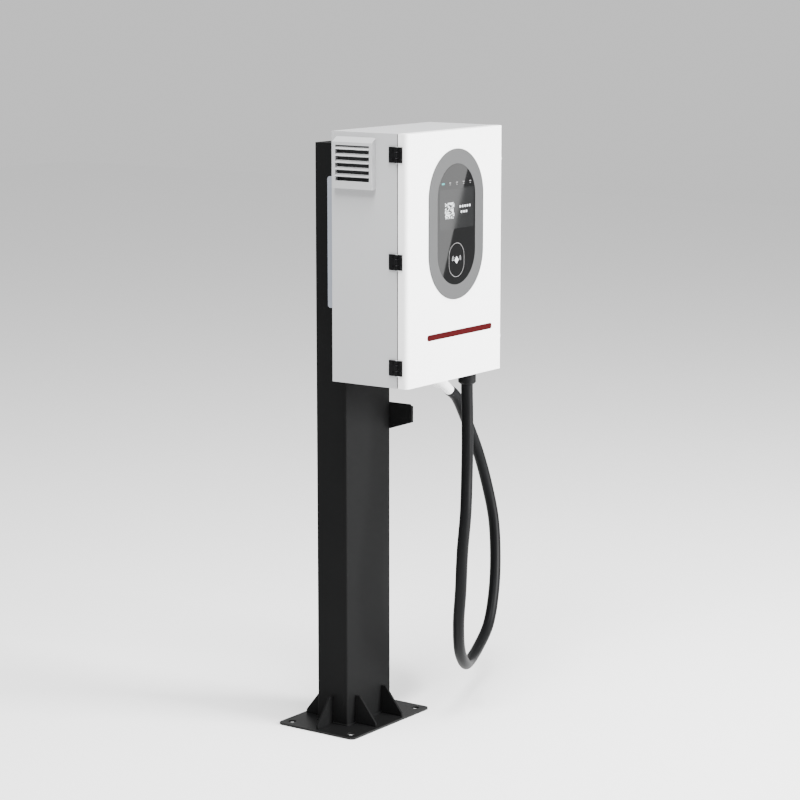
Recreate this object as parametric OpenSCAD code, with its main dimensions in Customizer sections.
// Free-standing EV charging post: a box-section column on a bolted base plate, a steel
// cabinet with a hinged door, and a captive charging cable whose plug parks in a holster.
// Millimetres. Origin at the centre of the column's foot, under the base plate.
// +X is to the right seen from the front, the front faces -Y, and +Z is up.

/* [Column] */
// Width of the column, side to side
post_w = 200; // [160:1:240]
// Depth of the column, front to back
post_d = 100; // [96:1:130]
// Wall of the column's box section
post_wall = 5; // [4:0.5:8]
// Outside corner radius of the column
post_r = 4; // [2:0.5:10]
// Height of the column's top above the ground
post_top = 1585; // [1540:1:1900]
// Thickness of the cap on the column
cap_t = 4; // [3:0.5:8]
// Width of the service opening in the column's back
access_w = 110; // [80:1:120]
// Height of the service opening
access_h = 210; // [120:1:260]
// Height of the middle of the service opening
access_z = 330; // [250:1:600]

/* [Base] */
// Width of the base plate
base_w = 360; // [340:1:450]
// Depth of the base plate
base_d = 256; // [240:1:340]
// Thickness of the base plate
base_t = 6; // [5:0.5:16]
// Corner radius of the base plate
base_r = 14; // [4:1:20]
// Distance between anchor holes, side to side
anchor_x = 300; // [280:1:320]
// Distance between anchor holes, front to back
anchor_y = 200; // [180:1:220]
// Diameter of the anchor holes
anchor_d = 22; // [14:0.5:26]
// Diameter of the supply cable's hole in the base plate
entry_d = 80; // [40:1:84]
// Thickness of the gussets
gusset_t = 6; // [4:0.5:12]
// Height of the gussets above the base plate
gusset_h = 78; // [40:1:160]
// Height of a gusset's outer toe
gusset_toe = 10; // [4:1:20]
// Flat on top of a gusset, out from the column
gusset_flat = 14; // [6:1:30]
// Distance of the front and back gussets from the middle
gusset_x = 60; // [40:1:70]
// How far the gussets stop short of the plate's edge
gusset_inset = 10; // [4:1:20]

/* [Cabinet] */
// Width of the cabinet
cab_w = 440; // [400:1:560]
// Height of the cabinet
cab_h = 650; // [600:1:800]
// Depth of the cabinet with its door
cab_d = 237; // [225:1:300]
// Height of the cabinet's underside above the ground
cab_z = 977; // [970:1:1100]
// Sheet thickness of the cabinet and door
sheet_t = 2; // [1.5:0.1:3]
// Width of the rim folded inwards round the mouth
rim_w = 14; // [10:0.5:16]
// Depth of the door tray
door_d = 28; // [26:1:40]
// Bend radius of the door's upright front edges
door_r = 12; // [4:1:14]
// Gap between door and body
seam = 3; // [1.5:0.1:4]

/* [Hinges and locks] */
// Height of a hinge
hinge_h = 40; // [30:1:60]
// Width of the leaf on the body
body_leaf_w = 24; // [20:1:40]
// Width of the leaf on the door
door_leaf_w = 15; // [14:1:20]
// Thickness of the hinge leaves
leaf_t = 4; // [3:0.5:4.5]
// Diameter of the hinge pins
pin_d = 5; // [3:0.5:6]
// Distance of the end hinges from the cabinet's ends
hinge_inset = 53; // [40:1:100]
// Diameter of the lock heads
knob_d = 20; // [16:1:22]
// How far the lock heads stand out
knob_out = 6; // [5:0.5:12]
// Distance of the locks from the cabinet's ends
lock_inset = 87; // [80:1:160]
// Radius from the lock's axis to its keeper
keeper_reach = 26; // [22:1:30]
// Diameter of the keeper pin
keeper_d = 6; // [4:0.5:8]

/* [Display] */
// Width of the display surround
bezel_w = 250; // [200:1:280]
// Height of the display surround
bezel_h = 392; // [330:1:440]
// Width of the grey band round the glass
bezel_band = 39; // [36:1:50]
// How far the surround stands proud of the door
bezel_out = 2; // [1:0.5:4]
// Distance of the surround's middle below the cabinet's top
bezel_drop = 244; // [240:1:320]
// Thickness of the front glass
glass_t = 3; // [2:0.5:4]
// Margin between the picture area and each side of the glass
screen_margin = 7.5; // [6:0.5:20]
// Height of the picture area
screen_h = 104; // [80:1:110]
// Height of the screen's middle above the surround's middle
screen_rise = 41; // [20:1:44]
// Height of the card reader's middle below the surround's middle
reader_drop = 93; // [80:1:100]

/* [Ventilation] */
// Width of the exhaust hood
hood_w = 125; // [122:1:150]
// Height of the exhaust hood
hood_h = 132; // [130:1:160]
// How far the hood stands out
hood_out = 17.5; // [12:0.5:40]
// Distance of the hood from the cabinet's back
hood_inset_y = 15; // [15:1:20]
// Distance of the hood from the cabinet's top
hood_inset_z = 12.5; // [12:0.5:30]
// Border round the hood's slots
hood_margin = 9; // [6:1:14]
// Number of slats in the hood
slot_count = 5; // [4:1:7]
// Size of the square exhaust fan
fan_size = 119; // [92:1:119]
// Depth of the exhaust fan
fan_depth = 25; // [20:1:32]
// Number of fan blades
blade_count = 7; // [5:1:11]
// Width and height of the air intake grille
intake_size = 130; // [100:1:140]

/* [Mounting bracket] */
// Width of the bracket between column and cabinet
bracket_w = 356; // [300:1:380]
// Height of the bracket
bracket_h = 344; // [300:1:380]
// Gap that the bracket holds between column and cabinet
bracket_d = 46; // [36:1:60]
// Sheet thickness of the bracket
bracket_t = 3; // [2:0.5:5]
// Height of the bracket's middle above the cabinet's middle
bracket_rise = 32; // [0:1:40]
// Outside diameter of the supply conduit
conduit_d = 50; // [32:1:60]

/* [Electrical equipment] */
// Gap behind the equipment plate
plate_gap = 15; // [10:1:20]
// Width of the power module
module_w = 300; // [240:1:310]
// Height of the power module
module_h = 360; // [300:1:380]
// Depth of the power module
module_d = 84; // [60:1:90]
// Height of the devices on the rail
device_h = 85; // [80:1:90]
// Width of the main circuit breaker
breaker_w = 54; // [54:1:60]

/* [Cable hanger] */
// Height of the hanger plate
hanger_h = 73; // [60:1:90]
// Height of the hanger plate's top edge
hanger_top = 872; // [860:1:876]
// How far the plate reaches past the column, front and back
hanger_ear = 71; // [40:1:90]
// How far the saddle stands out from the column
saddle_out = 90; // [60:1:110]
// Thickness of the hanger's plate
hanger_t = 4; // [3:0.5:6]

/* [Cable and plug] */
// Outside diameter of the charging cable
cable_d = 32; // [28:1:32]
// Diameter of the cable gland's nut
gland_d = 48; // [46:1:56]
// Diameter of the gland's thread
gland_thread = 40; // [38:1:42]
// Height of the gland's lower end
gland_z = 940; // [938:1:942]
// Height of the plug's axis in its holster
plug_z = 962; // [958:1:966]
// Distance of the holster's mouth from the column's middle
mouth_x = 215; // [210:1:220]
// Depth of the holster's socket
socket_depth = 58; // [56:1:64]
// Diameter of the plug's tail tube
tail_d = 29; // [26:1:32]

/* [Hidden] */
$fn = 48;

// Clearances
play = 0.3;
pin_play = 0.05;
screw_play = 0.2;
cut = 1;

// Colours
black_coat = "#303234";
white_coat = "#eceded";
side_coat = "#d4d6d8";
steel = "#b8bbbe";
grey_blue = "#aab2ba";
black_plastic = "#232426";
board_green = "#2f6b45";
brass = "#b9973f";

// Faces of the column and the cabinet
post_side = post_w / 2;
post_front = -post_d / 2;
post_back = post_d / 2;
cab_side = cab_w / 2;
cab_top = cab_z + cab_h;
cab_mid = cab_z + cab_h / 2;
cab_back = post_front - bracket_d;
cab_front = cab_back - cab_d;
door_back = cab_front + door_d;
body_front = door_back + seam;
body_d = cab_back - body_front;
in_side = cab_side - sheet_t;
in_back = cab_back - sheet_t;
in_floor = cab_z + sheet_t;

// Bracket between column and cabinet
bracket_z = cab_mid + bracket_rise;
bracket_end_r = 8;
bracket_lip = 28;
post_bolt_d = 12;
post_bolt_x = 0.35 * post_w;
post_bolt_z = bracket_h / 2 - 42;
cab_bolt_d = 8;
cab_bolt_x = bracket_w / 2 - bracket_t - bracket_lip / 2;
cab_bolt_z = post_bolt_z;
conduit_z = bracket_z - 57;
conduit_wall = 4;
conduit_nut = 5;
conduit_nut_d = conduit_d + 12;

// Service cover and earth stud
cover_lap = 15;
cover_t = 2;
cover_screw_d = 5;
stud_d = 8;
stud_l = 26;

// Hinges
hinge_zs = [cab_z + hinge_inset, cab_mid, cab_top - hinge_inset];
hinge_y = (body_front + door_back) / 2;
hinge_r = leaf_t + 0.2;
hinge_out = hinge_r + 0.4;
knuckle_h = hinge_h * 0.4;
knuckle_gap = 0.5;
leaf_screw_d = 4;
leaf_screw_z = hinge_h * 0.3;

// Locks
lock_zs = [cab_z + lock_inset, cab_top - lock_inset];
lock_back = 11;
lock_y = door_back - lock_back;
lock_shank_d = knob_d - 8;
head_slot_w = 3;
head_slot_deep = 1.5;
bush_t = 1.5;
bush_d = knob_d;
bush_nut_d = lock_shank_d + 6;
bush_nut_t = 4;
bush_step = 1;
cam_t = 4;
cam_gap = 2;
cam_reach = keeper_reach + keeper_d / 2 + 7;
slot_play = 1.5;

// Display
bezel_z = cab_top - bezel_drop;
bezel_front = cab_front - bezel_out;
glass_w = bezel_w - 2 * bezel_band;
glass_h = bezel_h - 2 * bezel_band;
screen_w = glass_w - 2 * screen_margin;
bezel_ledge = 4;
collar_wall = 12;
collar_d = 12;
stud_hole_d = 5;
bezel_stud_d = 4;
screen_z = bezel_z + screen_rise;
reader_z = bezel_z - reader_drop;
lcd_t = 8;
board_t = 1.6;
bezel_studs = [for (s = [-1, 1]) each [[s * (bezel_w / 2 - 14), 60], [s * (bezel_w / 2 - 14), -60],
    [0, s * (bezel_h / 2 - 14)]]];

// Ventilation
hood_y = cab_back - hood_inset_y - hood_w / 2;
hood_z = cab_top - hood_inset_z - hood_h / 2;
hood_wall = 2;
hood_drop = 13;
slot_w = hood_w - 2 * hood_margin;
slot_top = hood_z + hood_h / 2 - 21;
slot_bottom = hood_z - hood_h / 2 + 20;
slat_top_gap = 8;
slot_pitch = (slot_top - slot_bottom - 4) / slot_count;
mesh_t = 4;
mesh_rim = 3;
filter_t = 6;
fan_pitch = fan_size - 14;
fan_bore = fan_size - 5;
fan_x = -in_side + filter_t;
fan_screw_d = 4;
hub_d = fan_size / 3;
rotor_d = fan_bore - 4;
strut_t = 4;
rotor_l = fan_depth - strut_t - 3;
guard_t = 2;
intake_y = (cab_back + body_front) / 2;
intake_z = cab_z + intake_size / 2 + 28;
intake_out = 8;

// Equipment plate and what it carries
plate_t = 2;
plate_left = -in_side + 44;
plate_right = in_side - 12;
plate_low = in_floor + 16;
plate_high = cab_top - sheet_t - 18;
plate_back = in_back - plate_gap;
plate_face = plate_back - plate_t;
rail_w = 35;
rail_d = 7.5;
rail_z = in_floor + 103;
rail_face = plate_face - rail_d;
module_x = plate_left + module_w / 2 + 8;
module_z = plate_high - 12 - module_h / 2;
module_foot = 6;
device_gap = 4;
device_d = 58;
breaker_x = plate_left + 10 + breaker_w / 2;
surge_w = 72;
surge_x = breaker_x + breaker_w / 2 + device_gap + surge_w / 2;
meter_w = 72;
meter_x = surge_x + surge_w / 2 + device_gap + meter_w / 2;
aux_w = 52;
aux_x = meter_x + meter_w / 2 + device_gap + aux_w / 2;
lever_w = breaker_w - 10;
lever_r = 6;
lever_z = rail_z + 2;
lever_y = rail_face - device_d + 2;
contactor_w = 46;
contactor_h = 42;
contactor_d = 60;
standoff_screw_d = 5;
standoff_d = 14;
lever_rest = -18;

// Cable hanger
hanger_z = hanger_top - hanger_h;
hanger_rise = 23;
hanger_lip = 9;
saddle_w = 80;
saddle_r = 60;
saddle_top = hanger_top - 44;
saddle_lip = 25;
hanger_screw_d = 8;
hanger_screw_y = post_d / 2 - 16;
hanger_screw_z = hanger_z + hanger_h - 14;

// Gland
gland_x = 136;
gland_inset = 24;
gland_y = body_front + gland_inset;
gland_flange = 6;
gland_nut_h = 26;
locknut_h = 6;
gland_bore = cable_d + 2 * play;

// Centre line of the cable, from inside the gland, down and round, to the plug's tail
cable_route = [[136, -278, 960], [136, -278, 925], [135, -280, 870], [129, -285, 785],
    [120, -290, 700], [100, -300, 595], [85, -300, 490], [85, -295, 385], [105, -275, 285],
    [155, -245, 195], [230, -210, 135], [320, -165, 110], [420, -130, 125], [510, -105, 170],
    [575, -80, 250], [620, -55, 340], [640, -35, 445], [635, -15, 545], [610, 0, 645],
    [560, 5, 740], [500, 0, 820], [460, 0, 850]];
cable_sides = 12;
rings_per_span = 2;
loop_normal = [0.43, -0.9, 0];

// Plug, from its tail at the end of the cable up to its nose in the holster
tail_end = cable_route[len(cable_route) - 1];
tail_from = cable_route[len(cable_route) - 2];
tail_tilt = atan2(tail_end[2] - tail_from[2], tail_from[0] - tail_end[0]);
tail_l = 58;
flare_d = 50;
grip_d = 44;
grip_l = (plug_z + 6 - tail_end[2]) / sin(tail_tilt);
nose_w = 62;
nose_h = 84;
nose_gap = 3;
nose_tip = mouth_x - socket_depth + 6;
head_x = mouth_x + nose_gap;
button_x = head_x + 52;
button_z = plug_z + 46;
button_l = 34;
button_w = 18;
button_tilt = 8;
button_sink = 8;
button_rise = 6;
button_travel = 3;
button_play = 0.5;

// Holster
holster_wall = 8;
holster_flange_t = 6;
holster_flange_w = 90;
holster_flange_h = 122;
holster_screw_d = 6;
holster_screw_y = holster_flange_w / 2 - 8;
holster_screw_z = holster_flange_h / 2 - 9;

// --- Placing and outline helpers -------------------------------------------------------

// Children drawn on XY stand on an upright face: Y goes up and Z points out of the face
module on_front(y) { translate([0, y, 0]) rotate([90, 0, 0]) children(); }
module on_back(y) { translate([0, y, 0]) rotate([90, 0, 180]) children(); }
module on_left(x) { translate([x, 0, 0]) rotate([90, 0, -90]) children(); }
module on_right(x) { translate([x, 0, 0]) rotate([90, 0, 90]) children(); }

module round_rect(w, h, r) {
    square([w - 2 * r, h], center = true);
    square([w, h - 2 * r], center = true);
    for (x = [-1, 1], y = [-1, 1])
        translate([x * (w / 2 - r), y * (h / 2 - r)]) circle(r = r);
}

module stadium(w, h) {
    square([w, h - w], center = true);
    for (s = [-1, 1]) translate([0, s * (h - w) / 2]) circle(d = w);
}

// Outline of the plug's nose: a round upper half over a flatter lower half
module nose_outline(grow) {
    translate([0, nose_h / 2 - nose_w / 2]) circle(d = nose_w + 2 * grow);
    translate([0, -nose_h / 4]) round_rect(nose_w + 2 * grow, nose_h / 2 + 2 * grow, 14 + grow);
}

module at_corners(x, y) {
    for (i = [-1, 1], j = [-1, 1]) translate([i * x, j * y, 0]) children();
}

// --- Fasteners -------------------------------------------------------------------------

// Pan-head screw: the head sits on z = 0 and the shank goes down
module pan_screw(d, l) {
    translate([0, 0, -l]) cylinder(d = d, h = l + cut);
    cylinder(d = 1.8 * d, h = 0.6 * d);
}

// Hexagon bolt: head and washer above z = 0, nut below the grip
module through_bolt(d, grip) {
    translate([0, 0, -grip - 1.2 * d]) cylinder(d = d, h = grip + 1.2 * d + cut);
    cylinder(d = 2 * d, h = 0.2 * d);
    translate([0, 0, 0.2 * d]) cylinder(d = 1.85 * d, h = 0.65 * d, $fn = 6);
    translate([0, 0, -grip - 0.85 * d]) cylinder(d = 1.85 * d, h = 0.85 * d, $fn = 6);
}

// Hole for a screw of diameter d, from depth l below z = 0 to just above it
module screw_hole(d, l) {
    translate([0, 0, -l]) cylinder(d = d + 2 * screw_play, h = l + cut);
}

// --- Base and column -------------------------------------------------------------------

module base_plate() {
    color(black_coat) linear_extrude(base_t) difference() {
        round_rect(base_w, base_d, base_r);
        for (x = [-1, 1], y = [-1, 1])
            translate([x * anchor_x / 2, y * anchor_y / 2]) circle(d = anchor_d);
        circle(d = entry_d);
    }
}

// One gusset, its inner edge on x = 0 and its foot on y = 0
module gusset(reach) {
    linear_extrude(gusset_t) polygon([[0, 0], [reach, 0], [reach, gusset_toe],
        [gusset_flat, gusset_h], [0, gusset_h]]);
}

module base_gussets() {
    side_reach = (base_w - post_w) / 2 - gusset_inset;
    front_reach = (base_d - post_d) / 2 - gusset_inset;
    color(black_coat) translate([0, 0, base_t]) {
        for (x = [-gusset_x, gusset_x]) {
            translate([x + gusset_t / 2, post_front, 0]) rotate([90, 0, -90]) gusset(front_reach);
            translate([x - gusset_t / 2, post_back, 0]) rotate([90, 0, 90]) gusset(front_reach);
        }
        translate([post_side, gusset_t / 2, 0]) rotate([90, 0, 0]) gusset(side_reach);
        translate([-post_side, -gusset_t / 2, 0]) rotate([90, 0, 180]) gusset(side_reach);
    }
}

module post_tube() {
    color(black_coat) difference() {
        translate([0, 0, base_t]) linear_extrude(post_top - cap_t - base_t) difference() {
            round_rect(post_w, post_d, post_r);
            square([post_w - 2 * post_wall, post_d - 2 * post_wall], center = true);
        }
        on_front(post_front) {
            translate([0, conduit_z, -post_wall - cut])
                cylinder(d = conduit_d + 2 * play, h = post_wall + 2 * cut);
            translate([0, bracket_z, 0]) at_corners(post_bolt_x, post_bolt_z)
                screw_hole(post_bolt_d, post_wall + cut);
        }
        on_back(post_back) translate([0, access_z, 0]) {
            translate([-access_w / 2, -access_h / 2, -post_wall - cut])
                cube([access_w, access_h, post_wall + 2 * cut]);
            at_corners(access_w / 2 + cover_lap / 2, access_h / 2 + cover_lap / 2)
                screw_hole(cover_screw_d, post_wall + cut);
        }
        on_right(post_side) {
            for (y = [-1, 1]) translate([y * hanger_screw_y, hanger_screw_z, 0])
                screw_hole(hanger_screw_d, post_wall + cut);
            translate([0, plug_z, 0]) at_corners(holster_screw_y, holster_screw_z)
                screw_hole(holster_screw_d, post_wall + cut);
        }
    }
}

module post_cap() {
    lip_w = post_w - 2 * post_wall - 2 * play;
    lip_d = post_d - 2 * post_wall - 2 * play;
    lip_t = 3;
    lip_h = 12;
    color(black_coat) {
        translate([0, 0, post_top - cap_t]) linear_extrude(cap_t)
            round_rect(post_w, post_d, post_r);
        translate([0, 0, post_top - cap_t - lip_h]) linear_extrude(lip_h + cut) difference() {
            square([lip_w, lip_d], center = true);
            square([lip_w - 2 * lip_t, lip_d - 2 * lip_t], center = true);
        }
    }
}

module access_cover() {
    color(black_coat) on_back(post_back) translate([0, access_z, 0]) difference() {
        linear_extrude(cover_t) round_rect(access_w + 2 * cover_lap, access_h + 2 * cover_lap, 8);
        at_corners(access_w / 2 + cover_lap / 2, access_h / 2 + cover_lap / 2)
            translate([0, 0, cover_t]) screw_hole(cover_screw_d, cover_t + cut);
    }
}

module access_screws() {
    color(steel) on_back(post_back + cover_t) translate([0, access_z, 0])
        at_corners(access_w / 2 + cover_lap / 2, access_h / 2 + cover_lap / 2)
            pan_screw(cover_screw_d, cover_t + post_wall + 3);
}

// Earth stud on the column's left wall, reached through the service opening
module earth_stud() {
    color(brass) on_right(-post_side + post_wall) translate([post_back - 30, access_z, 0]) {
        cylinder(d = stud_d, h = stud_l);
        for (z = [4, 14]) translate([0, 0, z]) cylinder(d = 1.85 * stud_d, h = 6, $fn = 6);
        translate([0, 0, 10]) cylinder(d = 2.2 * stud_d, h = 2);
        cylinder(d = 2 * stud_d, h = 2);
    }
}

// --- Cable hanger and holster ----------------------------------------------------------

module hanger_plate_outline() {
    w = post_d / 2 + hanger_ear;
    polygon([[-post_d / 2, 0], [post_d / 2, 0], [w, hanger_rise], [w, hanger_h - 5],
        [w - 5, hanger_h], [5 - w, hanger_h], [-w, hanger_h - 5], [-w, hanger_rise]]);
}

// Arched band of the saddle, its crown at y = 0
module saddle_outline(depth) {
    intersection() {
        translate([0, -saddle_r]) difference() {
            circle(r = saddle_r, $fn = 96);
            circle(r = saddle_r - hanger_t, $fn = 96);
        }
        translate([-saddle_w / 2, -depth]) square([saddle_w, depth + cut]);
    }
}

module cable_hanger() {
    w = post_d / 2 + hanger_ear;
    color(black_coat) on_right(post_side) difference() {
        union() {
            translate([0, hanger_z, 0]) linear_extrude(hanger_t) hanger_plate_outline();
            for (s = [-1, 1]) translate([s * (w - hanger_t / 2) - hanger_t / 2,
                hanger_z + hanger_rise, 0])
                cube([hanger_t, hanger_h - hanger_rise - 5, hanger_lip]);
            translate([0, saddle_top, 0]) linear_extrude(saddle_out) saddle_outline(24);
            translate([-saddle_w / 2, saddle_top - 16, saddle_out - hanger_t])
                cube([saddle_w, 16 + saddle_lip, hanger_t]);
            for (s = [-1, 1]) translate([s * 24 - hanger_t / 2, hanger_z + 4, 0])
                cube([hanger_t, saddle_top - hanger_z - 10, saddle_out - hanger_t]);
        }
        for (y = [-1, 1]) translate([y * hanger_screw_y, hanger_screw_z, hanger_t])
            screw_hole(hanger_screw_d, hanger_t + cut);
    }
}

module hanger_screws() {
    color(steel) on_right(post_side + hanger_t) for (y = [-1, 1])
        translate([y * hanger_screw_y, hanger_screw_z, 0])
            pan_screw(hanger_screw_d, hanger_t + post_wall + 4);
}

module holster_housing() {
    body_l = mouth_x - post_side;
    color(black_plastic) on_right(post_side) translate([0, plug_z, 0]) difference() {
        union() {
            linear_extrude(holster_flange_t)
                round_rect(holster_flange_w, holster_flange_h, 10);
            linear_extrude(body_l) nose_outline(holster_wall);
        }
        translate([0, 0, body_l - socket_depth]) linear_extrude(socket_depth + cut)
            nose_outline(nose_gap);
        at_corners(holster_screw_y, holster_screw_z)
            translate([0, 0, holster_flange_t]) screw_hole(holster_screw_d, holster_flange_t + cut);
    }
}

module holster_screws() {
    color(steel) on_right(post_side + holster_flange_t) translate([0, plug_z, 0])
        at_corners(holster_screw_y, holster_screw_z)
            pan_screw(holster_screw_d, holster_flange_t + post_wall + 3);
}

// --- Bracket between column and cabinet ------------------------------------------------

module mounting_bracket() {
    flat_h = bracket_h - 2 * bracket_end_r;
    color(grey_blue) difference() {
        union() {
            on_front(post_front) translate([0, bracket_z, bracket_t / 2])
                cube([bracket_w, flat_h, bracket_t], center = true);
            for (x = [-bracket_w / 2, bracket_w / 2 - bracket_t])
                translate([x, (post_front + cab_back) / 2, bracket_z]) rotate([90, 0, 90])
                    linear_extrude(bracket_t) round_rect(bracket_d, bracket_h, bracket_end_r);
            for (s = [-1, 1])
                translate([s * cab_bolt_x, cab_back + bracket_t / 2, bracket_z])
                    cube([bracket_lip + 2 * bracket_t, bracket_t, flat_h], center = true);
        }
        on_front(post_front - bracket_t) {
            translate([0, conduit_z, -bracket_t - cut])
                cylinder(d = conduit_d + 2 * play, h = bracket_t + 2 * cut);
            translate([0, bracket_z, 0]) at_corners(post_bolt_x, post_bolt_z)
                screw_hole(post_bolt_d, bracket_t + cut);
        }
        on_front(cab_back) translate([0, bracket_z, 0]) at_corners(cab_bolt_x, cab_bolt_z)
            screw_hole(cab_bolt_d, bracket_t + cut);
    }
}

module bracket_bolts() {
    color(steel) on_front(post_front - bracket_t) translate([0, bracket_z, 0])
        at_corners(post_bolt_x, post_bolt_z) through_bolt(post_bolt_d, bracket_t + post_wall);
}

module cabinet_bolts() {
    color(steel) on_front(in_back) translate([0, bracket_z, 0])
        at_corners(cab_bolt_x, cab_bolt_z) through_bolt(cab_bolt_d, sheet_t + bracket_t);
}

// Bushed conduit that takes the supply cable from the column into the cabinet
module supply_conduit() {
    inner_end = post_front + post_wall + conduit_nut + 3;
    l = inner_end - in_back + conduit_nut + 3;
    color(black_plastic) on_front(inner_end) translate([0, conduit_z, 0]) difference() {
        union() {
            cylinder(d = conduit_d, h = l);
            translate([0, 0, 3]) cylinder(d = conduit_nut_d, h = conduit_nut);
            translate([0, 0, l - 3 - conduit_nut]) cylinder(d = conduit_nut_d, h = conduit_nut);
        }
        translate([0, 0, -cut]) cylinder(d = conduit_d - 2 * conduit_wall, h = l + 2 * cut);
    }
}

// --- Cabinet ---------------------------------------------------------------------------

module cabinet_shell() {
    color(side_coat) difference() {
        translate([-cab_side, body_front, cab_z]) cube([cab_w, body_d, cab_h]);
        translate([-in_side, body_front + sheet_t, in_floor])
            cube([2 * in_side, body_d - 2 * sheet_t, cab_h - 2 * sheet_t]);
        translate([rim_w - cab_side, body_front - cut, cab_z + rim_w])
            cube([cab_w - 2 * rim_w, sheet_t + 2 * cut, cab_h - 2 * rim_w]);
        translate([gland_x, gland_y, cab_z - cut])
            cylinder(d = gland_thread + 2 * play, h = sheet_t + 2 * cut);
        on_front(in_back) {
            translate([0, conduit_z, -sheet_t - cut])
                cylinder(d = conduit_d + 2 * play, h = sheet_t + 2 * cut);
            translate([0, bracket_z, 0]) at_corners(cab_bolt_x, cab_bolt_z)
                screw_hole(cab_bolt_d, sheet_t + cut);
            for (p = standoff_places()) translate([p[0], p[1], 0])
                screw_hole(standoff_screw_d, sheet_t + cut);
        }
        on_left(-cab_side) {
            translate([-hood_y, hood_z, -sheet_t - cut])
                cylinder(d = fan_bore, h = sheet_t + 2 * cut);
            translate([-hood_y, hood_z, 0]) at_corners(fan_pitch / 2, fan_pitch / 2)
                screw_hole(fan_screw_d, sheet_t + cut);
            for (z = hinge_zs, s = [-1, 1])
                translate([body_screw_u(), z + s * leaf_screw_z, 0])
                    screw_hole(leaf_screw_d, sheet_t + cut);
        }
        on_right(in_side) {
            translate([intake_y - intake_size / 2 + 15, intake_z - intake_size / 2 + 15, -cut])
                cube([intake_size - 30, intake_size - 30, sheet_t + 2 * cut]);
            for (z = lock_zs) translate([lock_y + keeper_reach, z, sheet_t])
                screw_hole(keeper_d, sheet_t + cut);
        }
    }
}

// --- Equipment inside the cabinet ------------------------------------------------------

function standoff_places() = [for (x = [plate_left + 14, plate_right - 14],
    z = [plate_low + 14, plate_high - 6]) [x, z]];

module equipment_plate() {
    color(steel) difference() {
        translate([plate_left, plate_face, plate_low])
            cube([plate_right - plate_left, plate_t, plate_high - plate_low]);
        on_front(plate_face) for (p = standoff_places()) translate([p[0], p[1], 0])
            screw_hole(standoff_screw_d, plate_t + cut);
        on_front(plate_back) translate([0, conduit_z, -cut])
            cylinder(d = conduit_nut_d + 4, h = plate_t + 2 * cut);
    }
}

// Standoffs with their screws, through the plate and the cabinet's back
module plate_standoffs() {
    color(steel) on_front(in_back) for (p = standoff_places()) translate([p[0], p[1], 0]) {
        cylinder(d = standoff_d, h = plate_gap, $fn = 6);
        translate([0, 0, -sheet_t - 1]) cylinder(d = standoff_screw_d, h = plate_gap + plate_t + 6);
        translate([0, 0, plate_gap + plate_t]) cylinder(d = 10, h = 4, $fn = 6);
    }
}

module din_rail() {
    l = plate_right - plate_left - 12;
    t = 1.2;
    color(steel) translate([plate_left + 6, plate_face, rail_z]) rotate([90, 0, 90])
        linear_extrude(l) {
            translate([-t, -rail_w / 2 + 5]) square([t, rail_w - 10]);
            for (s = [-1, 1]) {
                translate([-rail_d, s * (rail_w / 2 - 5) - t / 2]) square([rail_d, t]);
                translate([-rail_d, s * (rail_w / 2 - 2.5) - 3.1]) square([t, 6.2]);
            }
        }
}

// Stepped housing of a device that clips to the rail, its back on the rail's face
module rail_device(x, w, h, nose) {
    on_front(rail_face) translate([x - w / 2, rail_z - h / 2, 0]) {
        cube([w, h, device_d - nose]);
        translate([0, h / 2 - 22, 0]) cube([w, 44, device_d]);
    }
}

module circuit_breaker() {
    color("#e4e5e2") difference() {
        rail_device(breaker_x, breaker_w, device_h, 12);
        translate([breaker_x - lever_w / 2 - 1, lever_y - lever_r - 12, lever_z - 12])
            cube([lever_w + 2, lever_r + 12 + 7, 24]);
    }
}

module breaker_lever() {
    color(black_plastic) translate([breaker_x - lever_w / 2, lever_y, lever_z]) {
        rotate([0, 90, 0]) cylinder(r = lever_r, h = lever_w);
        rotate([lever_rest, 0, 0]) translate([0, -16, -2.5]) cube([lever_w, 16, 5]);
    }
}

module surge_protector() {
    color("#e4e5e2") rail_device(surge_x, surge_w, device_h, 10);
    color("#a53a2c") for (i = [0:3]) on_front(rail_face - device_d)
        translate([surge_x + (i - 1.5) * 18 - 7, rail_z - 16, 0]) cube([14, 32, 5]);
}

module energy_meter() {
    color("#dcdedf") rail_device(meter_x, meter_w, device_h, 8);
    color("#20303a") on_front(rail_face - device_d)
        translate([meter_x - 26, rail_z - 4, 0]) cube([52, 20, 1.5]);
}

module aux_supply() {
    color("#c9cccf") rail_device(aux_x, aux_w, device_h, 6);
}

module dc_contactors() {
    color(black_plastic) for (i = [0, 1]) on_front(plate_face)
        translate([plate_right - 26 - contactor_w - i * (contactor_w + 8), plate_low + 2, 0]) {
            cube([contactor_w, contactor_h, contactor_d]);
            for (x = [12, contactor_w - 12]) translate([x, contactor_h / 2, contactor_d])
                cylinder(d = 10, h = 8);
        }
}

module terminal_block() {
    color("#8d9296") for (i = [0:5]) on_front(plate_face)
        translate([plate_left + 30 + i * 17, plate_low + 2, 0]) {
            cube([16, 40, 34]);
            translate([2, 14, 34]) cube([12, 12, 6]);
        }
}

module power_module() {
    color(steel) on_front(plate_face) translate([module_x, module_z, 0]) {
        for (s = [-1, 1]) translate([s * (module_w / 2 - 18) - 9, -module_h / 2, 0])
            cube([18, module_h, module_foot + cut]);
        translate([-module_w / 2, -module_h / 2, module_foot])
            cube([module_w, module_h, module_d]);
        for (i = [0:8]) translate([-module_w / 2 + 20 + i * 32, -module_h / 2 + 20,
            module_foot + module_d]) cube([4, module_h - 150, 12]);
    }
}

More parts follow.
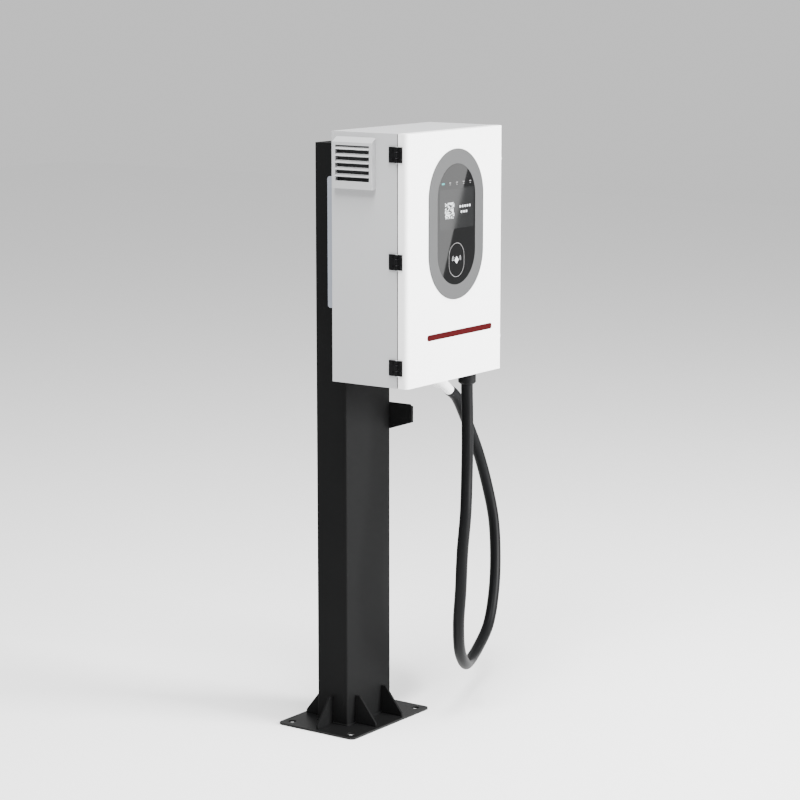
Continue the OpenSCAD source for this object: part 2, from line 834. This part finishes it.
module control_board() {
    w = 180;
    h = 76;
    color(board_green) on_front(plate_face - module_foot - module_d)
        translate([module_x, module_z + module_h / 2 - h / 2 - 10, 0]) {
            at_corners(w / 2 - 8, h / 2 - 8) cylinder(d = 7, h = 10.5);
            translate([-w / 2, -h / 2, 10]) cube([w, h, board_t]);
            translate([-60, -20, 10]) cube([30, 30, 5]);
            translate([10, -30, 10]) cube([60, 14, 14]);
            translate([10, 8, 10]) cube([44, 22, 18]);
        }
}

// --- Ventilation -----------------------------------------------------------------------

// Side profile of the hood: x out from the wall, y up, its foot on y = 0
module hood_profile(inset) {
    polygon([[-cut, inset > 0 ? -cut : 0], [hood_out - inset, inset > 0 ? -cut : 0],
        [hood_out - inset, hood_h - hood_drop - inset], [0, hood_h - inset],
        [-cut, hood_h - inset]]);
}

module vent_hood() {
    left = -hood_y - hood_w / 2;
    color(side_coat) difference() {
        intersection() {
            translate([-cab_side, hood_y + hood_w / 2, hood_z - hood_h / 2]) rotate([90, 0, 0])
                mirror([1, 0, 0]) linear_extrude(hood_w) hood_profile(0);
            translate([-cab_side - hood_out, hood_y - hood_w / 2, hood_z - hood_h / 2])
                cube([hood_out, hood_w, hood_h]);
        }
        translate([-cab_side, hood_y + hood_w / 2 - hood_wall, hood_z - hood_h / 2])
            rotate([90, 0, 0]) mirror([1, 0, 0])
                linear_extrude(hood_w - 2 * hood_wall) hood_profile(hood_wall);
        on_left(-cab_side) translate([left + hood_margin, slot_bottom, hood_out - hood_wall - cut])
            cube([slot_w, slot_top - slot_bottom, hood_wall + 2 * cut]);
    }
}

// Sloping slats across the hood's window
module vent_slats() {
    slat_t = 1.5;
    slat_l = 11;
    slope = 38;
    color(side_coat) for (i = [0:slot_count - 1])
        translate([-cab_side - hood_out + hood_wall / 2, hood_y - slot_w / 2,
            slot_top - slat_top_gap - i * slot_pitch])
            rotate([0, -slope, 0]) translate([-slat_l * 0.35, 0, -slat_t / 2])
                cube([slat_l, slot_w, slat_t]);
}

// Foam filter on the fan and the coarse dust mesh behind the hood's slats
module vent_filter() {
    mesh_h = slot_top - slot_bottom + 2 * mesh_rim;
    color("#2b2d30") on_left(-cab_side)
        translate([-hood_y, (slot_top + slot_bottom) / 2, play + mesh_t / 2])
            cube([slot_w + 2 * mesh_rim, mesh_h, mesh_t], center = true);
    color("#5b5f63") on_left(-in_side + filter_t) translate([-hood_y, hood_z, 0]) difference() {
        translate([0, 0, filter_t / 2]) cube([fan_size, fan_size, filter_t], center = true);
        at_corners(fan_pitch / 2, fan_pitch / 2) translate([0, 0, filter_t])
            screw_hole(fan_screw_d, filter_t + cut);
    }
}

module fan_frame() {
    color(black_plastic) on_right(fan_x) translate([hood_y, hood_z, 0]) {
        difference() {
            translate([0, 0, fan_depth / 2]) cube([fan_size, fan_size, fan_depth], center = true);
            translate([0, 0, -cut]) cylinder(d = fan_bore, h = fan_depth + 2 * cut, $fn = 96);
            at_corners(fan_pitch / 2, fan_pitch / 2) translate([0, 0, fan_depth])
                screw_hole(fan_screw_d, fan_depth + cut);
        }
        translate([0, 0, fan_depth - strut_t]) {
            cylinder(d = hub_d, h = strut_t);
            for (a = [45:90:315]) rotate([0, 0, a]) translate([hub_d / 2 - 3, -3, 0])
                cube([fan_bore / 2 - hub_d / 2 + 4, 6, strut_t]);
        }
    }
}

module fan_rotor() {
    blade_t = 1.6;
    color("#3a3c3f") on_right(fan_x) translate([hood_y, hood_z, 2]) {
        cylinder(d = hub_d, h = rotor_l);
        for (i = [0:blade_count - 1]) rotate([0, 0, i * 360 / blade_count])
            translate([hub_d / 2 - 2, 0, rotor_l / 2]) rotate([38, 0, 0])
                translate([0, -rotor_l * 0.6, -blade_t / 2])
                    cube([rotor_d / 2 - hub_d / 2, rotor_l * 1.2, blade_t]);
    }
}

module fan_guard() {
    color(steel) on_right(fan_x + fan_depth) translate([hood_y, hood_z, 0]) {
        for (d = [hub_d, hub_d + 26, hub_d + 52, fan_bore - 2]) difference() {
            cylinder(d = d, h = guard_t);
            translate([0, 0, -cut]) cylinder(d = d - 4, h = guard_t + 2 * cut);
        }
        for (a = [45:90:315]) rotate([0, 0, a]) difference() {
            translate([hub_d / 2 - 3, -2.5, 0])
                cube([fan_pitch * 0.7071 - hub_d / 2 + 9, 5, guard_t]);
            translate([fan_pitch * 0.7071, 0, guard_t]) screw_hole(fan_screw_d, guard_t + cut);
        }
    }
}

module fan_screws() {
    l = guard_t + fan_depth + filter_t + sheet_t + 2;
    color(steel) on_right(fan_x + fan_depth + guard_t) translate([hood_y, hood_z, 0])
        at_corners(fan_pitch / 2, fan_pitch / 2) pan_screw(fan_screw_d, l);
}

module intake_grille() {
    inner = intake_size - 26;
    rows = 8;
    color(side_coat) on_right(cab_side) translate([intake_y, intake_z, 0]) {
        linear_extrude(intake_out) difference() {
            round_rect(intake_size, intake_size, 6);
            square(inner, center = true);
        }
        for (i = [0:rows - 1]) translate([-inner / 2, (i + 0.5 - rows / 2) * inner / rows, 3])
            rotate([35, 0, 0]) translate([0, -4, 0]) cube([inner, 8, 1.5]);
    }
}

// --- Hinges ----------------------------------------------------------------------------

// Places along the left face, measured to the front
function body_screw_u() = -hinge_y - hinge_r - 0.5 - body_leaf_w / 2 + 2;
function door_screw_u() = -hinge_y + hinge_r + door_leaf_w / 2;

module body_hinge_leaves() {
    edge = -hinge_y - hinge_r - 0.5;
    web = knuckle_h - 2 * knuckle_gap;
    color(black_plastic) on_left(-cab_side) for (z = hinge_zs) translate([0, z, 0]) {
        difference() {
            union() {
                translate([edge - body_leaf_w + 4, -hinge_h / 2, 0])
                    cube([body_leaf_w - 4, hinge_h, leaf_t]);
                translate([edge - cut, -web / 2, hinge_out - hinge_r])
                    cube([hinge_r + 0.5 + cut, web, 2]);
                knuckle_block(web);
            }
            for (s = [-1, 1]) translate([body_screw_u(), s * leaf_screw_z, leaf_t])
                screw_hole(leaf_screw_d, leaf_t + cut);
            translate([-hinge_y, 0, hinge_out]) rotate([90, 0, 0])
                cylinder(d = pin_d + 2 * pin_play, h = hinge_h, center = true);
        }
    }
}

module knuckle_block(h) {
    translate([-hinge_y, 0, hinge_out]) rotate([90, 0, 0])
        cylinder(r = hinge_r, h = h, center = true);
}

module door_hinge_leaves() {
    edge = -hinge_y + hinge_r + 0.5;
    ear = (hinge_h - knuckle_h) / 2;
    color(black_plastic) on_left(-cab_side) for (z = hinge_zs) translate([0, z, 0]) {
        difference() {
            union() {
                translate([edge, -hinge_h / 2, 0]) cube([door_leaf_w - 4, hinge_h, leaf_t]);
                for (s = [-1, 1]) translate([0, s * (hinge_h - ear) / 2, 0]) {
                    knuckle_block(ear);
                    translate([-hinge_y, -ear / 2, hinge_out - hinge_r])
                        cube([hinge_r + 0.5 + cut, ear, 2]);
                }
            }
            for (s = [-1, 1]) translate([door_screw_u(), s * leaf_screw_z, leaf_t])
                screw_hole(leaf_screw_d, leaf_t + cut);
            translate([-hinge_y, 0, hinge_out]) rotate([90, 0, 0])
                cylinder(d = pin_d + 2 * pin_play, h = hinge_h + 2 * cut, center = true);
        }
    }
}

module hinge_pins() {
    head_t = 1;
    color(steel) on_left(-cab_side) for (z = hinge_zs)
        translate([-hinge_y, z, hinge_out]) rotate([90, 0, 0]) {
            cylinder(d = pin_d, h = hinge_h, center = true);
            for (s = [-1, 1]) translate([0, 0, s * (hinge_h / 2 + play + head_t / 2)])
                cylinder(d = pin_d + 2, h = head_t, center = true);
            cylinder(d = pin_d, h = hinge_h + 2 * play + head_t, center = true);
        }
}

module leaf_screws(u) {
    on_left(-cab_side - leaf_t) for (z = hinge_zs, s = [-1, 1])
        translate([u, z + s * leaf_screw_z, 0]) pan_screw(leaf_screw_d, leaf_t + sheet_t + 4);
}

module body_leaf_screws() { color(steel) leaf_screws(body_screw_u()); }

module door_leaf_screws() { color(steel) leaf_screws(door_screw_u()); }

// --- Locks -----------------------------------------------------------------------------

module lock_keepers() {
    color(steel) on_right(in_side) for (z = lock_zs) translate([lock_y + keeper_reach, z, 0]) {
        translate([0, 0, -rim_w - cam_gap - cam_t - 2])
            cylinder(d = keeper_d, h = rim_w + cam_gap + cam_t + 2 + sheet_t);
        translate([0, 0, -3]) cylinder(d = keeper_d + 6, h = 3);
        translate([0, 0, sheet_t]) cylinder(d = keeper_d + 4, h = 1.5);
    }
}

// Hooked cam, pointing up, whose slot runs round the keeper as it turns to the back
module cam_outline() {
    inner = knob_d / 2 + 2;
    outer = keeper_reach + keeper_d / 2 + slot_play;
    difference() {
        union() {
            circle(d = knob_d);
            intersection() {
                circle(r = cam_reach);
                polygon([[0, 0], [60 * cos(62), 60 * sin(62)], [60 * cos(112), 60 * sin(112)]]);
            }
        }
        intersection() {
            difference() {
                circle(r = outer);
                circle(r = inner);
            }
            polygon([[0, 0], [60 * cos(40), 60 * sin(40)], [60 * cos(98), 60 * sin(98)]]);
        }
    }
}

module lock(z) {
    shank = rim_w + cam_gap + cam_t;
    color(black_plastic) on_right(cab_side) translate([lock_y, z, 0]) {
        translate([0, 0, -shank]) cylinder(d = lock_shank_d, h = shank + bush_t + 1);
        translate([0, 0, bush_t + play]) difference() {
            cylinder(d = knob_d, h = knob_out - bush_t - play);
            translate([-head_slot_w / 2, -knob_d / 2 + 4, knob_out - bush_t - play - head_slot_deep])
                cube([head_slot_w, knob_d - 8, head_slot_deep + cut]);
        }
        translate([0, 0, -shank]) linear_extrude(cam_t) cam_outline();
    }
}

module upper_lock() { lock(lock_zs[1]); }

module lower_lock() { lock(lock_zs[0]); }

// Bushes that carry the lock shanks in the door's right-hand return
module lock_bushes() {
    color(steel) on_right(cab_side) for (z = lock_zs) translate([lock_y, z, 0]) difference() {
        union() {
            cylinder(d = bush_d, h = bush_t);
            translate([0, 0, -sheet_t - 5]) cylinder(d = lock_shank_d + 4, h = sheet_t + 5 + cut);
            translate([0, 0, -sheet_t - bush_step - bush_nut_t]) rotate([0, 0, 30])
                cylinder(d = bush_nut_d, h = bush_nut_t, $fn = 6);
        }
        translate([0, 0, -sheet_t - 5 - cut])
            cylinder(d = lock_shank_d + 2 * pin_play, h = sheet_t + bush_t + 5 + 2 * cut);
    }
}

// --- Door ------------------------------------------------------------------------------

// Plan of the door: flat back on y = 0, both front corners bent to radius r
module door_plan(w, d, r) {
    translate([-w / 2, r - d]) square([w, d - r]);
    translate([r - w / 2, -d]) square([w - 2 * r, d]);
    for (s = [-1, 1]) translate([s * (w / 2 - r), r - d]) circle(r = r);
}

module door_panel() {
    opening_w = glass_w + 2 * collar_wall + 2 * play;
    opening_h = glass_h + 2 * collar_wall + 2 * play;
    color(white_coat) difference() {
        translate([0, door_back, cab_z]) linear_extrude(cab_h)
            door_plan(cab_w, door_d, door_r);
        translate([0, door_back - sheet_t, in_floor]) linear_extrude(cab_h - 2 * sheet_t)
            door_plan(cab_w - 2 * sheet_t, door_d - 2 * sheet_t, door_r - sheet_t);
        translate([rim_w - cab_side, door_back - sheet_t - cut, cab_z + rim_w])
            cube([cab_w - 2 * rim_w, sheet_t + 2 * cut, cab_h - 2 * rim_w]);
        on_front(cab_front) translate([0, bezel_z, 0]) {
            translate([0, 0, -sheet_t - cut]) linear_extrude(sheet_t + 2 * cut)
                stadium(opening_w, opening_h);
            for (p = bezel_studs) translate([p[0], p[1], -sheet_t - cut])
                cylinder(d = stud_hole_d, h = sheet_t + 2 * cut);
        }
        on_left(-cab_side) for (z = hinge_zs, s = [-1, 1])
            translate([door_screw_u(), z + s * leaf_screw_z, 0])
                screw_hole(leaf_screw_d, sheet_t + cut);
        on_right(cab_side) for (z = lock_zs) translate([lock_y, z, -sheet_t - cut])
            cylinder(d = lock_shank_d + 4 + 2 * play, h = sheet_t + 2 * cut);
    }
}

module door_gasket() {
    edge = 1;
    color(black_plastic) on_front(door_back + seam - play) translate([0, cab_mid, 0])
        linear_extrude(seam - play) difference() {
            square([cab_w - 2 * edge, cab_h - 2 * edge], center = true);
            square([cab_w - 2 * rim_w + 2, cab_h - 2 * rim_w + 2], center = true);
        }
}

// --- Display ---------------------------------------------------------------------------

module panel_bezel() {
    color("#9b9d9f") on_front(bezel_front) translate([0, bezel_z, 0]) {
        difference() {
            union() {
                translate([0, 0, -bezel_out]) linear_extrude(bezel_out) stadium(bezel_w, bezel_h);
                translate([0, 0, -bezel_out - collar_d]) linear_extrude(collar_d + cut)
                    stadium(glass_w + 2 * collar_wall, glass_h + 2 * collar_wall);
            }
            translate([0, 0, -glass_t - play]) linear_extrude(glass_t + play + cut)
                stadium(glass_w + 2 * play, glass_h + 2 * play);
            translate([0, 0, -bezel_out - collar_d - cut])
                linear_extrude(collar_d + bezel_out + 2 * cut)
                    stadium(glass_w - 2 * bezel_ledge, glass_h - 2 * bezel_ledge);
        }
        for (p = bezel_studs) translate([p[0], p[1], -bezel_out - 10])
            cylinder(d = bezel_stud_d, h = 10 + bezel_out / 2);
    }
}

module bezel_nuts() {
    color(steel) on_front(cab_front + sheet_t) for (p = bezel_studs)
        translate([p[0], bezel_z + p[1], -4]) difference() {
            cylinder(d = 8, h = 4, $fn = 6);
            translate([0, 0, -cut]) cylinder(d = bezel_stud_d + 2 * pin_play, h = 4 + 2 * cut);
        }
}

module display_glass() {
    color("#101214") on_front(bezel_front) translate([0, bezel_z, -glass_t])
        linear_extrude(glass_t) stadium(glass_w, glass_h);
}

module lcd_module() {
    color("#1b2c38") on_front(bezel_front + glass_t + play) translate([0, screen_z, -lcd_t])
        linear_extrude(lcd_t) round_rect(screen_w, screen_h, 6);
}

module display_board() {
    color(board_green) on_front(bezel_front + glass_t + play + lcd_t)
        translate([0, screen_z, 0]) {
            at_corners(screen_w / 2 - 14, screen_h / 2 - 14) translate([0, 0, -4])
                cylinder(d = 6, h = 4);
            translate([-screen_w / 2 + 6, -screen_h / 2 + 6, -4 - board_t])
                cube([screen_w - 12, screen_h - 12, board_t]);
            translate([-30, -20, -8 - board_t]) cube([40, 24, 4.5]);
        }
}

module card_reader() {
    color(board_green) on_front(bezel_front + glass_t + play) translate([0, reader_z, 0]) {
        translate([-32, -36, -3]) cube([64, 72, 3]);
        translate([-20, -10, -7]) cube([40, 20, 4.5]);
    }
}

// --- Cable gland, cable and plug -------------------------------------------------------

module cable_gland() {
    nut_top = gland_z + gland_nut_h + play;
    color(black_plastic) translate([gland_x, gland_y, 0]) difference() {
        union() {
            translate([0, 0, cab_z - gland_flange]) cylinder(d = gland_d + 4, h = gland_flange);
            translate([0, 0, nut_top]) cylinder(d = gland_thread + 2, h = cab_z - nut_top - cut);
            translate([0, 0, cab_z - cut]) cylinder(d = gland_thread, h = sheet_t + locknut_h + 6);
            translate([0, 0, in_floor]) cylinder(d = gland_thread + 10, h = locknut_h, $fn = 6);
        }
        translate([0, 0, nut_top - cut]) cylinder(d = gland_bore, h = 60);
    }
}

module gland_nut() {
    lead = 5;
    color(black_plastic) translate([gland_x, gland_y, gland_z]) difference() {
        union() {
            cylinder(d1 = gland_d - 2 * lead, d2 = gland_d, h = lead);
            translate([0, 0, lead]) cylinder(d = gland_d, h = gland_nut_h - lead);
        }
        translate([0, 0, -cut]) cylinder(d = gland_bore, h = gland_nut_h + 2 * cut);
    }
}

// Point and direction on the curve through the route's points, at span i and share t
function at_end(i) = min(max(i, 0), len(cable_route) - 1);
function curve_point(i, t) = let (a = cable_route[at_end(i - 1)], b = cable_route[i],
    c = cable_route[at_end(i + 1)], d = cable_route[at_end(i + 2)])
    0.5 * (2 * b + (c - a) * t + (2 * a - 5 * b + 4 * c - d) * t * t
    + (3 * b - 3 * c + d - a) * t * t * t);
function curve_slope(i, t) = let (a = cable_route[at_end(i - 1)], b = cable_route[i],
    c = cable_route[at_end(i + 1)], d = cable_route[at_end(i + 2)])
    (c - a) + 2 * (2 * a - 5 * b + 4 * c - d) * t + 3 * (3 * b - 3 * c + d - a) * t * t;
function unit(v) = v / norm(v);
function ring(c, along) = let (u = unit(cross(loop_normal, along)), v = unit(cross(along, u)))
    [for (k = [0:cable_sides - 1]) let (a = 360 * k / cable_sides)
        c + cable_d / 2 * (cos(a) * u + sin(a) * v)];

module charging_cable() {
    spans = len(cable_route) - 1;
    last = cable_route[spans];
    rings = [for (i = [0:spans - 1], j = [0:rings_per_span - 1]) let (t = j / rings_per_span)
        ring(curve_point(i, t), curve_slope(i, t)),
        ring(last, last - cable_route[spans - 1])];
    n = cable_sides;
    sides = [for (r = [0:len(rings) - 2], k = [0:n - 1]) let (a = r * n + k,
        b = r * n + (k + 1) % n) each [[a, a + n, b], [b, a + n, b + n]]];
    caps = [[for (k = [0:n - 1]) k], [for (k = [n - 1:-1:0]) (len(rings) - 1) * n + k]];
    color(black_plastic) polyhedron([for (r = rings) each r], concat(sides, caps));
}

// Children drawn along +X leave the tail's end and run up the plug's grip
module up_the_grip() {
    translate(tail_end) rotate([0, tail_tilt, 0]) mirror([1, 0, 0]) children();
}

// Thin slice across the grip, s up from the tail's end
module grip_slice(s, w, h) {
    up_the_grip() translate([s, 0, 0]) rotate([0, 90, 0]) linear_extrude(1)
        scale([h / w, 1]) circle(d = w, $fn = 32);
}

module head_slice(x, w, h, z) {
    translate([x, 0, z]) rotate([90, 0, 90]) linear_extrude(1) round_rect(w, h, w / 2.4, $fn = 32);
}

module plug_shell() {
    union() {
        up_the_grip() translate([0.2, 0, 0]) rotate([0, 90, 0])
            cylinder(d = tail_d, h = tail_l + 10);
        hull() {
            grip_slice(tail_l, flare_d, flare_d);
            grip_slice(tail_l + 10, grip_d, grip_d);
        }
        hull() {
            grip_slice(tail_l + 8, grip_d, grip_d);
            grip_slice(grip_l - 12, grip_d, grip_d + 4);
        }
        hull() {
            grip_slice(grip_l - 14, grip_d, grip_d + 4);
            head_slice(head_x + 70, 56, 64, plug_z + 12);
        }
        hull() {
            head_slice(head_x + 70, 56, 64, plug_z + 12);
            head_slice(head_x + 22, 72, 92, plug_z + 2);
        }
        hull() {
            head_slice(head_x + 22, 72, 92, plug_z + 2);
            head_slice(head_x, 76, 98, plug_z);
        }
    }
}

// Button's outline block, standing across the top of the plug's head
module button_block(grow, low, high) {
    translate([button_x, 0, button_z]) rotate([0, button_tilt, 0]) translate([0, 0, low])
        linear_extrude(high - low) round_rect(button_l + 2 * grow, button_w + 2 * grow, 6 + grow);
}

module plug_body() {
    color(white_coat) difference() {
        plug_shell();
        button_block(button_play, -button_sink - button_travel - 1, 30);
    }
}

module plug_nose() {
    l = head_x - nose_tip;
    color(black_plastic) on_right(nose_tip) translate([0, plug_z, 0]) difference() {
        linear_extrude(l) nose_outline(0);
        translate([0, 0, -cut]) linear_extrude(34 + cut) nose_outline(-4);
    }
}

module plug_pins() {
    ring_z = nose_h / 2 - nose_w / 2;
    pin_l = 30;
    color(brass) on_right(nose_tip + 34 - pin_l) translate([0, plug_z, 0]) {
        for (a = [30:60:330]) translate([16 * cos(a), ring_z + 16 * sin(a), 0])
            cylinder(d = 6, h = pin_l);
        translate([0, ring_z, 0]) cylinder(d = 6, h = pin_l);
        for (s = [-1, 1]) translate([s * 14, -nose_h / 2 + 17, 0]) cylinder(d = 9, h = pin_l);
    }
}

// Thumb button on top of the plug's head
module plug_button() {
    color("#8d9196") button_block(0, -button_sink, button_rise);
}

base_plate();
base_gussets();
post_tube();
post_cap();
access_cover();
access_screws();
earth_stud();
cable_hanger();
hanger_screws();
holster_housing();
holster_screws();
mounting_bracket();
bracket_bolts();
cabinet_bolts();
supply_conduit();
cabinet_shell();
equipment_plate();
plate_standoffs();
din_rail();
circuit_breaker();
breaker_lever();
surge_protector();
energy_meter();
aux_supply();
dc_contactors();
terminal_block();
power_module();
control_board();
vent_hood();
vent_slats();
vent_filter();
fan_frame();
fan_rotor();
fan_guard();
fan_screws();
intake_grille();
body_hinge_leaves();
hinge_pins();
body_leaf_screws();
lock_keepers();
door_panel();
door_gasket();
door_hinge_leaves();
door_leaf_screws();
lock_bushes();
upper_lock();
lower_lock();
panel_bezel();
bezel_nuts();
display_glass();
lcd_module();
display_board();
card_reader();
cable_gland();
gland_nut();
charging_cable();
plug_body();
plug_nose();
plug_pins();
plug_button();
